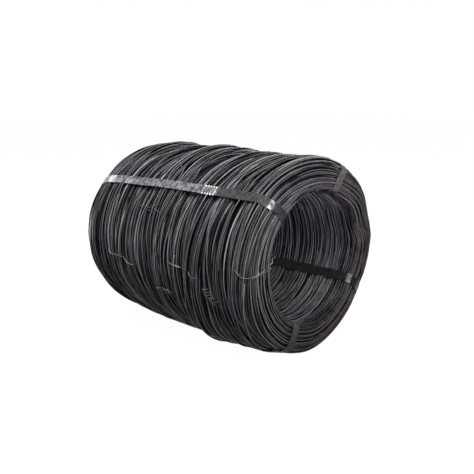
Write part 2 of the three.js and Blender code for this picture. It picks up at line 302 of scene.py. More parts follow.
# A place on the wound wall, from its distance along the wall, its height above it and its angle
# round the coil: the centre, the way out of the wall there and the way along it.
def on_wall(distance, above, turn):
    nx, nr = at_wall(distance, wall_nx), at_wall(distance, wall_nr)
    x = at_wall(distance, wall_x) + nx * above
    radius = at_wall(distance, wall_r) + nr * above
    degrees = (np.degrees(turn) + 90) % 360 - 90
    pull = 0.001 * profile(degrees, front_pull)
    x = x - pull * np.clip((x - pull_from_x) / pull_reach, 0, 1) ** pull_power
    cos, sin = np.cos(turn), np.sin(turn)
    centre = np.stack([x, radius * cos, radius * sin + axis_height], 1)
    outwards = np.stack([nx, nr * cos, nr * sin], 1)
    sideways = np.stack([nr, -nx * cos, -nx * sin], 1)
    return centre, outwards, sideways


# A piece from its vertices and faces.
def new_piece(name, vertices, faces):
    mesh = bpy.data.meshes.new(name)
    mesh.from_pydata(vertices.tolist(), [], faces)
    piece = bpy.data.objects.new(name, mesh)
    bpy.context.collection.objects.link(piece)
    return piece


# A value on each vertex, which a material can read by its name.
def add_values(piece, name, values):
    piece.data.attributes.new(name, "FLOAT", "POINT").data.foreach_set("value", values)


# A round wire of the given radius along a line of centres, with closed ends. Its UV map runs
# along the wire and once round it, and its tone is how bright it is painted there: the scale's
# own tone together with any painted light or shade.
def round_wire(name, centre, outwards, sideways, radius, sides, along, tone):
    count = len(centre)
    corner = np.arange(sides) * 2 * np.pi / sides
    ring = (np.cos(corner)[None, :, None] * outwards[:, None]
            + np.sin(corner)[None, :, None] * sideways[:, None])
    vertices = (centre[:, None] + radius * ring).reshape(-1, 3)
    first = (np.arange(count - 1) * sides)[:, None]
    side = np.arange(sides)[None, :]
    after = (side + 1) % sides
    quads = np.stack([first + side, first + sides + side, first + sides + after, first + after], 2)
    ends = [list(range(sides)), list(range((count - 1) * sides, count * sides))[::-1]]
    piece = new_piece(name, vertices, quads.reshape(-1, 4).tolist() + ends)
    uv = np.empty((count - 1, sides, 4, 2))
    uv[:, :, (0, 3), 0] = along[:-1, None, None]
    uv[:, :, (1, 2), 0] = along[1:, None, None]
    uv[..., 1] = (side.T + (0, 0, 1, 1)) / sides
    uv = np.r_[uv.ravel(), np.zeros(4 * sides)]
    piece.data.uv_layers.new(name="along").data.foreach_set("uv", uv)
    add_values(piece, "tone", np.repeat(tone, sides))
    piece.data.shade_smooth()
    piece.data.update()
    return piece


# Sets a node's inputs, by name or as i0, i1 by number, and links those that are given as sockets.
def set_inputs(tree, node, **inputs):
    for key, value in inputs.items():
        by_number = key[0] == "i" and key[1:].isdigit()
        socket = node.inputs[int(key[1:]) if by_number else key.replace("_", " ")]
        if isinstance(value, bpy.types.NodeSocket):
            tree.links.new(value, socket)
        else:
            socket.default_value = value


def add_node(tree, kind, settings=None, **inputs):
    node = tree.nodes.new(kind)
    for key, value in (settings or {}).items():
        setattr(node, key, value)
    set_inputs(tree, node, **inputs)
    return node


# A colour ramp, from stops of position and colour, where one number is a grey.
def add_ramp(tree, factor, stops):
    node = add_node(tree, "ShaderNodeValToRGB", Fac=factor)
    ramp = node.color_ramp
    while len(ramp.elements) < len(stops):
        ramp.elements.new(1)
    for element, (position, colour) in zip(ramp.elements, stops):
        element.position = position
        element.color = (*np.broadcast_to(colour, 3), 1)
    return node.outputs["Color"]


# One colour mixed into another.
def add_mix(tree, factor, first, second, blend="MIX"):
    node = add_node(tree, "ShaderNodeMix", {"data_type": "RGBA", "blend_type": blend},
                    i0=factor, i6=first, i7=second)
    return node.outputs[2]


# A colour multiplied by another.
def add_tint(tree, colour, tint, factor=1.0):
    return add_mix(tree, factor, colour, tint, "MULTIPLY")


def add_math(tree, operation, first, second=0.0):
    node = add_node(tree, "ShaderNodeMath", {"operation": operation}, i0=first, i1=second)
    return node.outputs[0]


# A value taken from one range to another, and kept within it.
def add_range(tree, value, low, high, low_to=0.0, high_to=1.0):
    node = add_node(tree, "ShaderNodeMapRange", i0=value, i1=low, i2=high, i3=low_to, i4=high_to)
    return node.outputs[0]


def add_noise(tree, vector, scale, detail=3.0, roughness=0.55):
    node = add_node(tree, "ShaderNodeTexNoise", Vector=vector, Scale=scale, Detail=detail,
                    Roughness=roughness)
    return node.outputs["Fac"]


# Coordinates scaled along each axis, which stretches the noise that reads them.
def add_scaling(tree, vector, scale):
    return add_node(tree, "ShaderNodeMapping", Vector=vector, Scale=scale).outputs[0]


# The outputs X, Y and Z of a vector.
def add_parts(tree, vector):
    return add_node(tree, "ShaderNodeSeparateXYZ", Vector=vector).outputs


def add_attribute(tree, name):
    return add_node(tree, "ShaderNodeAttribute", {"attribute_name": name}).outputs["Fac"]


def add_bump(tree, height, strength, distance):
    return add_node(tree, "ShaderNodeBump", Height=height, Strength=strength,
                    Distance=distance).outputs["Normal"]


# The outputs of one of the shared effects below, placed in a material.
def add_effect(tree, effect, **inputs):
    return add_node(tree, "ShaderNodeGroup", {"node_tree": effect}, **inputs).outputs


# A shared effect's node group, with what it is given and its output node.
def new_effect(name, inputs, outputs):
    group = bpy.data.node_groups.new(name, "ShaderNodeTree")
    for direction, sockets in (("INPUT", inputs), ("OUTPUT", outputs)):
        for socket, kind in sockets.items():
            group.interface.new_socket(socket, in_out=direction, socket_type="NodeSocket" + kind)
    return group, group.nodes.new("NodeGroupInput").outputs, group.nodes.new("NodeGroupOutput")


# Grey rolling scale, blotched along the wire, with a blue or brown cast in patches, and painted
# shade: black on the sides of each wire towards its neighbours, for the shade between the wires,
# except where the tone is brightest.
scale_effect, given, result = new_effect(
    "rolling scale and painted gap shade", {"Vector": "Vector", "Along": "Vector", "Tone": "Float"},
    {"Colour": "Color", "Roughness": "Float", "Height": "Float"})
tree = scale_effect
streaks = add_noise(tree, add_scaling(tree, given["Along"], (40, 2, 1)), 1.0, 4.0, 0.6)
flakes = add_noise(tree, given["Vector"], 420.0, 3.0, 0.6)
patches = add_noise(tree, given["Vector"], 9.0, 2.0, 0.5)
shade = add_math(tree, "ADD", given["Tone"], add_range(tree, streaks, 0.25, 0.75, -0.28, 0.28))
shade = add_math(tree, "ADD", shade, add_range(tree, flakes, 0.3, 0.7, -0.12, 0.12))
grey = add_ramp(tree, shade, (
    (0, 0.005), (0.3, (0.028, 0.028, 0.029)), (0.55, (0.085, 0.085, 0.088)),
    (0.8, (0.17, 0.17, 0.176)), (1, (0.30, 0.30, 0.306))))
cast = add_ramp(tree, patches, (
    (0.32, (0.93, 0.90, 0.85)), (0.42, (0.96, 0.95, 0.99)), (0.55, (0.94, 0.92, 1.02)),
    (0.68, (0.88, 0.85, 1.03))))
# Painted shade between the turns: the colour falls towards black on each wire's sides, and is
# lifted where the tone is brightest.
round_it = add_parts(tree, given["Along"])["Y"]
outward = add_math(tree, "COSINE", add_math(tree, "MULTIPLY", round_it, 2 * math.pi))
painted_gap_shade = add_ramp(tree, outward, ((0.0, 0.02), (0.50, 0.22), (0.82, 1.0)))
gap_shade_lifted = add_range(tree, given["Tone"], 0.8, 1.0, 0.0, 0.8)
painted_gap_shade = add_mix(tree, gap_shade_lifted, painted_gap_shade, (1, 1, 1, 1))
colour = add_tint(tree, add_tint(tree, grey, cast), painted_gap_shade)
rough = add_range(tree, flakes, 0.3, 0.7, 0.33, 0.52)
set_inputs(tree, result, Colour=colour, Roughness=rough, Height=flakes)

# Brown rust bloom that comes through where Amount is high.
rust_effect, given, result = new_effect(
    "rust bloom", {"Vector": "Vector", "Colour": "Color", "Roughness": "Float", "Amount": "Float"},
    {"Colour": "Color", "Roughness": "Float"})
tree = rust_effect
clouds = add_noise(tree, given["Vector"], 22.0, 5.0, 0.62)
specks = add_noise(tree, given["Vector"], 240.0, 3.0, 0.6)
bloom = add_math(tree, "ADD", add_math(tree, "MULTIPLY", clouds, 0.7),
                 add_math(tree, "MULTIPLY", specks, 0.3))
kept_clean = add_math(tree, "SUBTRACT", 1.0, given["Amount"])
bloom = add_math(tree, "SUBTRACT", bloom, add_math(tree, "MULTIPLY", kept_clean, 0.75))
rusted = add_range(tree, bloom, 0.0, 0.22)
brown = add_ramp(tree, specks, (
    (0.3, (0.040, 0.029, 0.027)), (0.55, (0.082, 0.060, 0.054)), (0.75, (0.140, 0.108, 0.098))))
rough = add_node(tree, "ShaderNodeMix", {"data_type": "FLOAT"}, i0=rusted,
                 i2=given["Roughness"], i3=0.8).outputs[0]
colour = add_mix(tree, rusted, given["Colour"], brown)
set_inputs(tree, result, Colour=colour, Roughness=rough)


# A material, its tree, its shader and its Object and UV coordinates.
def new_material(name):
    material = bpy.data.materials.new(name)
    material.use_nodes = True
    tree = material.node_tree
    coords = tree.nodes.new("ShaderNodeTexCoord").outputs
    return material, tree, tree.nodes["Principled BSDF"], coords


# 1 on the upper turns of the eye, which are painted lighter there as painted light, falling to 0
# at the given distance from the coil's axis and low in the eye.
def painted_light_in_upper_eye(tree, coords, edge):
    parts = add_parts(tree, coords["Object"])
    above_axis = add_math(tree, "SUBTRACT", parts["Z"], axis_height)
    squares = add_math(tree, "ADD", add_math(tree, "POWER", parts["Y"], 2.0),
                       add_math(tree, "POWER", above_axis, 2.0))
    from_axis = add_math(tree, "SQRT", squares)
    return add_math(tree, "MULTIPLY", add_range(tree, from_axis, edge, edge - 0.015),
                    add_range(tree, above_axis, -0.13, 0.0))


# The wire's steel: scale, with rust at the front end that grows towards the far side, and painted
# light that makes the upper turns of the eye lighter and bluer.
def wire_material(name, specular):
    material, tree, shader, coords = new_material(name)
    scale = add_effect(tree, scale_effect, Vector=coords["Object"], Along=coords["UV"],
                       Tone=add_attribute(tree, "tone"))
    parts = add_parts(tree, coords["Object"])
    forward = add_range(tree, parts["X"], 0.38, 0.47)
    far_side = add_range(tree, parts["Y"], -0.34, 0.20, 0.25, 1.0)
    amount = add_range(tree, add_math(tree, "MULTIPLY", forward, far_side), 0.0, 1.0, 0.10, 0.42)
    rust = add_effect(tree, rust_effect, Vector=coords["Object"], Colour=scale["Colour"],
                      Roughness=scale["Roughness"], Amount=amount)
    # Painted light: the upper turns of the eye are made lighter and bluer.
    colour = add_tint(tree, rust["Colour"], (1.26, 1.22, 1.38, 1), painted_light_in_upper_eye(tree, coords, 0.25))
    set_inputs(tree, shader, Base_Color=colour, Roughness=rust["Roughness"], Metallic=0.2,
               Specular_IOR_Level=specular, Normal=add_bump(tree, scale["Height"], 0.25, 0.0004))
    return material


wire_steel = wire_material("annealed wire", 0.22)
buried_steel = wire_material("annealed wire beneath", 0.1)

# How bright the scale is on each layer, wandering at random. The rest is painted light and shade:
# painted light makes it brighter and more even in the eye, most of all high in it, and painted
# shade makes it darker under the front shoulder and darker on the layer beneath.
middle_tone = 0.5
eye_painted_light = 0.16
haze_painted_light = 0.50
shoulder_painted_shade = 0.27
tone_wander = 0.2
depth_painted_shade = 0.60
in_haze = in_eye * near_angle(turn_angle, 95, 110)
front_shoulder = ((0.98, 0), (1.03, 1), (1.16, 1), (1.22, 0))
shaded = profile(base_place, front_shoulder) * near_angle(turn_angle, -45, 130)
tones = [np.clip(middle_tone + eye_painted_light * in_eye + haze_painted_light * in_haze - shoulder_painted_shade * shaded
                 + tone_wander * (1 - 0.6 * in_eye) * wander(0.05, 0.9, 12, unrolled)
                 - depth_painted_shade * depth * (1 - 0.45 * in_eye - 0.5 * in_haze), 0, 1)
         for depth in (0, 1)]

# The pieces that each layer is cut into, from the distance along the wall where each starts.
stretches = {"rear_turns": 0, "outer_turns_back": 0.22, "outer_turns": 0.60, "front_turns": 0.965,
             "eye_turns": 1.135}
first_turns = [round(start / wall_length * turns) for start in stretches.values()]
last_turns = first_turns[1:] + [turns]
for depth, ending, sides, stride, material in (
        (0, "", 6, 1, wire_steel), (1, "_beneath", 5, 2, buried_steel)):
    for name, first_turn, last_turn in zip(stretches, first_turns, last_turns):
        rows = np.arange(first_turn * steps_round, min(last_turn * steps_round + 1, len(unrolled)),
                         stride)
        line = on_wall(place[depth][rows], height[depth][rows], turn_angle[rows])
        piece = round_wire(name + ending, *line, wire_radius, sides, unrolled[rows] / (2 * np.pi),
                           tones[depth][rows])
        piece.data.materials.append(material)
        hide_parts("wire_coil")
        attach(piece, "root")

# ---------------------------------------------------------------------------------------------
# Riding turns. Turns of the same rod that slipped or were wound on last. They ride over their
# neighbours at a slant, held only by the tension, and sink between them at both ends.

forward_rows = 1000
riding_step = 0.009
riding_sides = 6
random_riders = 14
tucked_in = -6
streak_length = 0.04
bare_wall = -0.02
corner_rounds = 4
fewest_rounded = 14
taut_rows = 2
taut_rounds = 3
lift_rounds = 2
mid_outside = np.interp(0, wall_x[:forward_rows], wall_distance[:forward_rows])


# The wires' places, heights and angles where they pass the given angle, one for each turn.
def wires_at(degrees, layer):
    turned = np.radians(degrees) % (2 * np.pi) + 2 * np.pi * np.arange(turns)
    return (np.interp(turned, unrolled, place[layer]), np.interp(turned, unrolled, height[layer]),
            turned)


# How high a wire of the given radius lies on the turns, at places along the wall and angles round
# the coil.
def resting_height(distance, degrees, radius):
    rest = np.full(len(distance), bare_wall)
    for layer in (0, 1):
        for row in range(len(distance)):
            wires, above, _ = wires_at(degrees[row], layer)
            apart = np.abs(wires - distance[row])
            near = apart < wire_radius + radius
            if near.any():
                on_top = above[near] + np.sqrt((wire_radius + radius) ** 2 - apart[near] ** 2)
                rest[row] = max(rest[row], np.max(on_top))
    return rest


# A wire laid over the turns along a way of [metres forward of the coil's middle, angle round the
# coil, millimetres above the turns it lies on], taut from ridge to ridge.
def laid_wire(name, radius, tone, way, sides, step):
    forwards, angle, lift = np.transpose(way)
    corner_run = np.r_[0, np.cumsum(np.hypot(np.diff(forwards),
                                             coil_radius * np.radians(np.diff(angle))))]
    count = int(corner_run[-1] / step) + 2
    run = np.linspace(0, corner_run[-1], count)
    rounds = corner_rounds if count > fewest_rounded else 1
    distance = mid_outside + smooth_line(np.interp(run, corner_run, forwards), rounds)
    degrees = smooth_line(np.interp(run, corner_run, angle), rounds)
    rest = resting_height(distance, degrees, radius)
    taut = [rest[max(0, row - taut_rows):row + taut_rows + 1].max() for row in range(count)]
    taut = smooth_line(np.array(taut), taut_rounds)
    taut += 0.001 * smooth_line(np.interp(run, corner_run, lift), lift_rounds)
    centre, outwards, _ = on_wall(distance, taut, np.radians(degrees))
    forward = np.gradient(centre, axis=0)
    forward /= np.linalg.norm(forward, axis=1)[:, None]
    sideways = np.cross(outwards, forward)
    sideways /= np.linalg.norm(sideways, axis=1)[:, None]
    outwards = np.cross(forward, sideways)
    return round_wire(name, centre, outwards, sideways, radius, sides, run / streak_length,
                      np.full(count, tone))


# Several wires joined into one piece.
def joined(pieces, name):
    bpy.ops.object.select_all(action="DESELECT")
    for piece in pieces:
        piece.select_set(True)
    bpy.context.view_layer.objects.active = pieces[0]
    bpy.ops.object.join()
    pieces[0].name = name
    return pieces[0]


# How bright each one is, most of them brighter than the turns under them as a painted highlight
# along the riding turn, and its way as [metres forward of the coil's middle, angle round the
# coil], tucked in at its ends.
riding = [
    (0.75, ((0.172, 188), (0.159, 202), (0.143, 212.5), (0.122, 226.6), (0.095, 245))),
    (0.75, ((0.462, 186), (0.446, 201), (0.430, 212), (0.416, 218.5), (0.392, 230.5),
            (0.376, 246))),
    (0.70, ((-0.077, 176), (-0.073, 188), (-0.062, 200), (-0.048, 209), (-0.038, 217),
            (-0.030, 230))),
    (0.70, ((0.243, 186), (0.235, 196), (0.226, 209), (0.216, 222), (0.196, 240))),
]
for _ in range(random_riders):
    start, angle = chance.uniform(-0.30, 0.40), chance.uniform(80, 200)
    slant, length = chance.uniform(-0.030, 0.030), chance.uniform(45, 90)
    riding.append((chance.uniform(0.45, 0.75),
                   [(start + part * slant, angle + part * length) for part in (0, 0.15, 0.85, 1)]))
riders = []
for number, (tone, way) in enumerate(riding):
    lifts = [tucked_in] + [0] * (len(way) - 2) + [tucked_in]
    way = np.column_stack([way, lifts])
    riders.append(laid_wire(f"riding_turn_{number}", wire_radius, tone, way, riding_sides,
                            riding_step))
riding_turns = joined(riders, "riding_turns")
riding_turns.data.materials.append(wire_steel)
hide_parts("wire_coil")
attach(riding_turns, "root")

# ---------------------------------------------------------------------------------------------
# The turns further in. The rest of the rod, layer under layer, which only closes the gaps between
# the turns above. It is one wall that follows the lie of the second layer, smoothed along it.

core_spacing = 7
core_smoothing = 9
core_depth = 0.5 * wire_radius
rings = np.arange(0, len(wall_distance), core_spacing)
core_place = np.repeat(wall_distance[rings], steps_round)
core_turn = np.tile(angles_round, len(rings))
core_height = np.empty((len(rings), steps_round))
for column in range(steps_round):
    places = place[1][column::steps_round] % wall_length
    order = np.argsort(places)
    core_height[:, column] = np.interp(wall_distance[rings], places[order],
                                       height[1][column::steps_round][order])
for _ in range(core_smoothing):
    core_height = (np.roll(core_height, 1, 0) + 2 * core_height + np.roll(core_height, -1, 0)) / 4
core_height = (core_height - core_depth).ravel()
centre, _, _ = on_wall(core_place, core_height, core_turn)
ring = (np.arange(len(rings)) * steps_round)[:, None]
ring_after = np.roll(ring, -1, 0)
side = np.arange(steps_round)[None, :]
side_after = (side + 1) % steps_round
faces = np.stack([ring + side, ring + side_after, ring_after + side_after, ring_after + side], 2)
inner_turns = new_piece("inner_turns", centre, faces.reshape(-1, 4).tolist())

# The core is painted near black, a painted shade for the depth under the turns, and painted lighter
# high in the eye as painted light.
deep_steel, tree, shader, coords = new_material("wire deep in the coil")
ridges = add_noise(tree, add_scaling(tree, coords["Object"], (120, 6, 6)), 1.0)
painted_depth_shade = add_ramp(tree, ridges, ((0.3, 0.002), (0.7, (0.010, 0.010, 0.011))))
with_painted_eye_light = add_mix(tree, painted_light_in_upper_eye(tree, coords, 0.28), painted_depth_shade, (0.09, 0.088, 0.10, 1))
set_inputs(tree, shader, Base_Color=with_painted_eye_light, Roughness=0.8, Specular_IOR_Level=0.05)
inner_turns.data.materials.append(deep_steel)
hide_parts("wire_coil")
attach(inner_turns, "root")

# ---------------------------------------------------------------------------------------------
# Straps. Flat rolled steel strapping, 32 mm by 1 mm, pulled tight round the wall with a tool. Each
# takes the shortest way over the wires that stand highest under it, and its two ends lap.

strap_width = 0.032
strap_thickness = 0.001
strap_play = 0.0003
strap_spacing = 0.004
strap_bevel = 0.0003
strap_side_room = 0.001
strap_lap = 0.150
lap_rise = 0.0013
lowest_play = 0.0003
seal_places = {"upper_front": 0.220, "upper_back": 0.220, "lower_back": 0.220,
               "lower_front": lowest_seal_x}


# The distance along the wall of the place nearest to an x and a radius.
def place_at(x, radius):
    return wall_distance[np.argmin(np.hypot(wall_x - x, wall_r - radius))]


rear_outer = place_at(-0.33, 0.341)
outside_middle = place_at(0, coil_radius)
front_outer = place_at(0.455, 0.318)
front_face = place_at(0.476, 0.283)
front_lip = place_at(0.479, eye_radius + lip_radius)
eye_front = place_at(0.42, eye_radius)
eye_middle = place_at(0, eye_radius)

# The angle of each strap round the coil, in degrees, at distances along the wall.
strap_ways = {
    "upper_front": ((0, 138.6), (rear_outer, 139.2), (outside_middle, 138.6),
                    (front_outer, 138.1), (front_face, 137.3), (eye_front, 138.2),
                    (eye_middle, 138), (wall_length, 138.6)),
    "upper_back": ((0, 66), (outside_middle, 63), (front_outer, 62.9), (front_lip, 71.6),
                   (eye_front, 73), (eye_middle, 70), (wall_length, 66)),
    "lower_back": ((0, -28), (outside_middle, -30), (front_outer, -30), (front_lip, -26.8),
                   (eye_front, -25.5), (eye_middle, -25.5), (wall_length, -28)),
    "lower_front": ((0, -108), (outside_middle, -104), (front_outer, -109.8), (front_lip, -112.4),
                    (eye_front, -111.5), (eye_middle, -110), (wall_length, -108)),
}
under_strap = np.linspace(-4.2, 4.2, 9)
hull_corners = 16


# The taut way round the wall, as x and radius, starting behind the seal, and its length. It is
# the outline that closes round all wires under the strap's width.
def taut_route(way, seal_place):
    reach = wire_radius + strap_play + strap_thickness / 2
    points = []
    for layer in (0, 1):
        for offset in under_strap:
            middle = wires_at(way[0][1], layer)[0] % wall_length
            degrees = profile(middle, way) + offset
            distance, above, turn = wires_at(degrees, layer)
            centre, _, _ = on_wall(distance, above, turn)
            radius = np.hypot(centre[:, 1], centre[:, 2] - axis_height)
            across = radius * math.sin(math.radians(offset))
            radius = radius * math.cos(math.radians(offset))
            under = np.abs(across) < strap_width / 2 + strap_side_room
            for corner in np.arange(hull_corners) * np.pi / (hull_corners // 2):
                points.append(np.stack([centre[under, 0] + reach * np.cos(corner),
                                        radius[under] + reach * np.sin(corner)], 1))
    points = np.concatenate(points)
    hull = points[geometry.convex_hull_2d([Vector(point) for point in points])]
    middle = hull.mean(0)
    if np.cross(hull[1] - hull[0], middle - hull[0]) > 0:
        hull = hull[::-1]
    closed = np.concatenate([hull, hull[:1]])
    lengths = lengths_along(closed)
    count = int(lengths[-1] / strap_spacing)
    run = np.arange(count) * lengths[-1] / count
    x = np.interp(run, lengths, closed[:, 0])
    radius = np.interp(run, lengths, closed[:, 1])
    outside = radius > 0.5 * (coil_radius + eye_radius)
    first = np.argmin(np.abs(x - (seal_place - strap_lap / 2)) + np.where(outside, 0, 1))
    return np.roll(x, -first), np.roll(radius, -first), lengths[-1]


# A flat grid, each row of it then put across the route at its x, radius and angle. `across` and
# `above` are the places over its width and out of it, and `lowest` is how near the floor it comes.
def lay_band(name, x, radius, degrees, across, above, lowest):
    bpy.ops.object.select_all(action="DESELECT")
    bpy.ops.mesh.primitive_grid_add(x_subdivisions=len(x) - 1, y_subdivisions=across.shape[1] - 1,
                                    size=1)
    band = bpy.context.object
    band.name = name
    turn = np.radians(degrees)[:, None]
    radius = radius[:, None] + above
    spots = np.empty((len(x), across.shape[1], 3))
    spots[..., 0] = x[:, None]
    spots[..., 1] = radius * np.cos(turn) - across * np.sin(turn)
    spots[..., 2] = np.maximum(radius * np.sin(turn) + across * np.cos(turn) + axis_height, lowest)
    band.data.vertices.foreach_set("co", spots.transpose(1, 0, 2).ravel())
    band.data.update()
    return band


rolled_from = math.radians(50)
smooth_below = math.radians(35)


# Gives a laid band its thickness and its rolled edges.
def finish_band(band, thickness, bevel):
    bpy.context.view_layer.objects.active = band
    solid = band.modifiers.new("thickness", "SOLIDIFY")
    solid.thickness = thickness
    solid.offset = 0
    edges = band.modifiers.new("rolled edges", "BEVEL")
    edges.width = bevel
    edges.segments = 2
    edges.angle_limit = rolled_from
    for modifier in ("thickness", "rolled edges"):
        bpy.ops.object.modifier_apply(modifier=modifier)
    bpy.ops.object.mode_set(mode="EDIT")
    bpy.ops.mesh.select_all(action="SELECT")
    bpy.ops.mesh.normals_make_consistent(inside=False)
    bpy.ops.mesh.faces_shade_smooth()
    bpy.ops.object.mode_set(mode="OBJECT")
    bpy.ops.object.shade_smooth_by_angle(angle=smooth_below)


# Worn steel: dull blotches, long scratches and fine speckle.
wear_effect, given, result = new_effect(
    "scuffed strap", {"Vector": "Vector"},
    {"Blotches": "Float", "Scratches": "Float", "Speckle": "Float"})
lengthways = add_scaling(wear_effect, given["Vector"], (30, 1400, 1))
set_inputs(wear_effect, result, Blotches=add_noise(wear_effect, given["Vector"], 60.0, 5.0, 0.65),
           Scratches=add_noise(wear_effect, lengthways, 1.0, 3.0, 0.7),
           Speckle=add_noise(wear_effect, given["Vector"], 330.0, 3.0, 0.7))


# Strap steel in three shades, with soft or sharp blotches and as much rust as is given. Returns
# the tinted material's parts, so that each strap can be shaded further along its length.
def strap_material(name, shades, most_rust, metallic, roughness, softness=0.1):
    material, tree, shader, coords = new_material(name)
    wear = add_effect(tree, wear_effect, Vector=coords["Object"])
    value = add_math(tree, "ADD", add_math(tree, "MULTIPLY", wear["Blotches"], 0.6),
                     add_math(tree, "MULTIPLY", wear["Speckle"], 0.4))
    stops = (0.5 - softness, 0.5, 0.5 + 1.2 * softness)
    shade = add_ramp(tree, value, tuple(zip(stops, shades)))
    rough = add_range(tree, wear["Speckle"], 0.3, 0.7, roughness - 0.08, roughness + 0.12)
    rust = add_effect(tree, rust_effect, Vector=coords["Object"], Colour=shade, Roughness=rough,
                      Amount=add_range(tree, wear["Blotches"], 0.35, 0.65, 0.0, most_rust))
    set_inputs(tree, shader, Roughness=rust["Roughness"], Metallic=metallic,
               Normal=add_bump(tree, wear["Scratches"], 0.2, 0.0003))
    return material, tree, shader, coords, rust["Colour"]


# The bright strap: clean as far as its seal and dull beyond, with painted highlights, white,
# where it bends at the rear and on the two facets of a kink over the front shoulder, and painted
# shade, near black, on the front face past the kink. The stops are places from x = -0.5 m to
# 0.5 m.
bright_steel_painted_highlights, tree, shader, coords, colour = strap_material(
    "bright strap with painted highlights", ((0.13, 0.13, 0.14), (0.42, 0.43, 0.46), (0.95, 0.96, 1.0)), 0.10, 0.3, 0.42,
    0.05)
along_x = add_range(tree, add_parts(tree, coords["Object"])["X"], -0.5, 0.5)
# The stops from 0.9656 on are painted light: a painted highlight on the kink's facets, brighter
# than white steel, then painted shade on the front face.
shade = add_ramp(tree, along_x, (
    (0.120, (0.30, 0.30, 0.32)), (0.142, (0.30, 0.31, 0.33)), (0.150, (1.10, 1.12, 1.16)),
    (0.182, (1.0, 1.02, 1.07)), (0.194, (0.38, 0.40, 0.44)), (0.280, (0.34, 0.355, 0.385)),
    (0.340, (0.26, 0.26, 0.27)), (0.755, (0.24, 0.24, 0.25)), (0.762, (0.048, 0.047, 0.047)),
    (0.9656, (0.045, 0.044, 0.045)), (0.9663, 1.45), (0.9680, 1.45), (0.9686, 0.6), (0.9694, 0.6),
    (0.9700, 1.35), (0.9720, 1.35), (0.9729, 0.035)))
rough = add_ramp(tree, along_x, (
    (0.18, 0.35), (0.25, 0.5), (0.755, 0.5), (0.762, 0.72), (0.9656, 0.72), (0.9663, 0.4),
    (0.9721, 0.4), (0.9729, 0.9)))
set_inputs(tree, shader, Base_Color=add_tint(tree, colour, shade), Roughness=rough)
strap_steels = {"upper_front": bright_steel_painted_highlights}

# The other straps have weathered: each has a cast on its outer part, a painted highlight where it
# bends over the lip, and a cast round the lip, which come in at parts of the way from x = 0.44 m
# to 0.49 m.
weathered_shades = ((0.022, 0.022, 0.022), (0.050, 0.049, 0.049), (0.10, 0.098, 0.097))
for name, outer_cast, lip_bend_highlight, lip_cast, highlight_from, highlight_to, most_rust, specular in (
        ("upper_back", (1.15, 1.08, 1.05), (1.35, 1.25, 1.2), (1.0, 0.92, 0.88),
         0.66, 0.80, 0.40, 0.3),
        ("lower_back", (0.22, 0.225, 0.275), (2.5, 2.3, 2.15), (0.14, 0.12, 0.105),
         0.13, 0.40, 0.10, 0.12),
        ("lower_front", (0.54, 0.51, 0.42), (0.64, 0.61, 0.49), (0.54, 0.51, 0.42),
         0.66, 0.80, 0.30, 0.2)):
    strap_steels[name], tree, shader, coords, colour = strap_material(
        "weathered strap with painted lip highlight " + name, weathered_shades, most_rust, 0.2, 0.62)
    along_x = add_range(tree, add_parts(tree, coords["Object"])["X"], 0.440, 0.490)
    # The brighter cast in the middle of these stops is a painted highlight where the strap bends
    # over the lip.
    shade = add_ramp(tree, along_x, (
        (0.0, outer_cast), (highlight_from - 0.05, outer_cast), (highlight_from, lip_bend_highlight),
        (highlight_to, lip_bend_highlight), (highlight_to + 0.04, lip_cast)))
    set_inputs(tree, shader, Base_Color=add_tint(tree, colour, shade), Specular_IOR_Level=specular)

# The seal's crimps press notches into both edges of the strap and the seal together.
seal_length = 0.058
seal_crimps = 4
crimp_pitch = 0.0125
crimp_depth = 0.0050
crimp_reach = 0.0028
crimp_spacing = 0.0012
least_step = 0.0003
rise_before = 0.050
rise_length = 0.035
seal_half_room = 0.030
seal_rise = 1.1


# How far a place along the seal is pressed in, from 0 to 1.
def pressed_in(from_middle):
    crimps = (np.arange(seal_crimps) - (seal_crimps - 1) / 2) * crimp_pitch
    return np.exp(-((from_middle[:, None] - crimps) / crimp_reach) ** 4).sum(1)


straps = {}
strap_across = np.array([-0.5, -0.46, -0.34, -0.17, 0, 0.17, 0.34, 0.46, 0.5]) * strap_width
at_edge = np.clip((np.abs(strap_across) / strap_width - 0.3) / 0.2, 0, 1)
seal_middle = strap_lap / 2
for name, way in strap_ways.items():
    x, radius, length = taut_route(way, seal_places[name])
    fine = np.arange(-seal_length / 2, seal_length / 2, crimp_spacing)
    run = np.sort(np.r_[np.arange(0, length + strap_lap, strap_spacing), seal_middle + fine,
                        length + seal_middle + fine])
    run = run[np.r_[True, np.diff(run) > least_step]]
    coarse = np.arange(len(x) + 1) * length / len(x)
    x = np.interp(run % length, coarse, np.r_[x, x[0]])
    radius = np.interp(run % length, coarse, np.r_[radius, radius[0]])
    rise = lap_rise * np.clip((run - length + rise_before) / rise_length, 0, 1)
    dx, dr = np.gradient(x, run), np.gradient(radius, run)
    steepness = np.hypot(dx, dr)
    x, radius = x - dr / steepness * rise, radius + dx / steepness * rise
    degrees = profile(np.array([place_at(*spot) for spot in zip(x, radius)]), way)
    from_seal = (run - seal_middle + length / 2) % length - length / 2
    pressed = pressed_in(from_seal) * (np.abs(from_seal) < seal_length / 2)
    across = strap_across - np.sign(strap_across) * at_edge * pressed[:, None] * crimp_depth
    covered = (np.clip((strap_lap - run) / seal_half_room, 0, 1)
               + seal_rise * np.clip(2 - np.abs(from_seal) / seal_half_room, 0, 1))
    lowest = lowest_play + strap_thickness / 2 + lap_rise * covered
    strap = lay_band("strap_" + name + "_band", x, radius, degrees, across, 0, lowest[:, None])
    finish_band(strap, strap_thickness, strap_bevel)
    strap.data.materials.append(strap_steels[name])
    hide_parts("strap_" + name)
    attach(strap, "root")
    straps[name] = (x, radius, degrees, run - length - seal_middle)

# ---------------------------------------------------------------------------------------------
# Seals. Short open channels of galvanised sheet, slid over the two lapped ends and crimped in
# along both edges with a hand sealer.

